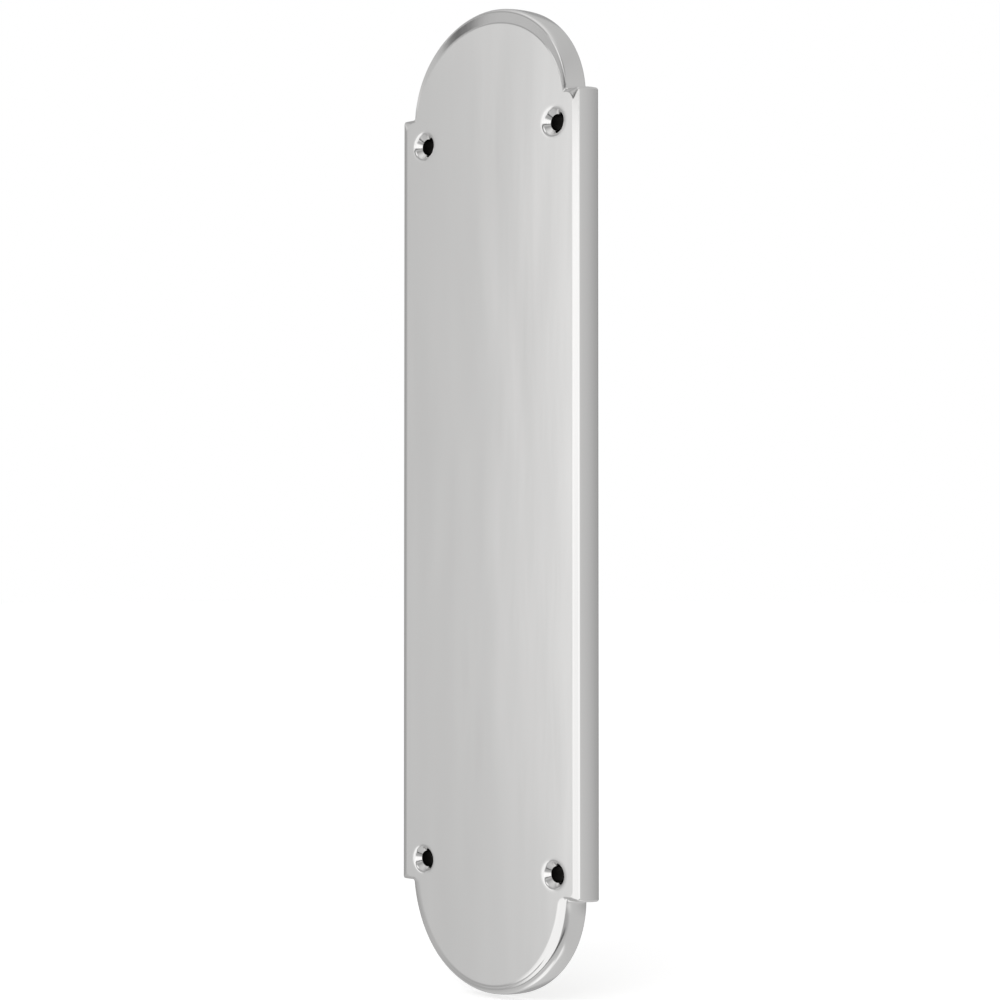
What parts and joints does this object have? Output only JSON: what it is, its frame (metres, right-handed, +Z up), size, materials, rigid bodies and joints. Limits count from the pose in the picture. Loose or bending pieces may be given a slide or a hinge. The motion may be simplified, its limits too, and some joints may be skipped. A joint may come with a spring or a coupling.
{
  "type": "door finger plate",
  "caption": "Cast door finger plate with a raised face, bevelled edge, square shoulders and a round arch at each end, fixed by countersunk wood screws.",
  "frame": {"origin": "on the back plane, midway between the four screw holes", "axes": "+Z up along the plate's length, +X across the plate to the viewer's right, -Y out of the face; the back lies in the plane Y = 0, against the door"},
  "size_m": [0.0762, 0.0087, 0.3048],
  "materials": {
    "plate": "polished nickel plate over cast brass"
  },
  "bodies": {
    "root": {"finger_plate": "plate"}
  },
  "joints": []
}
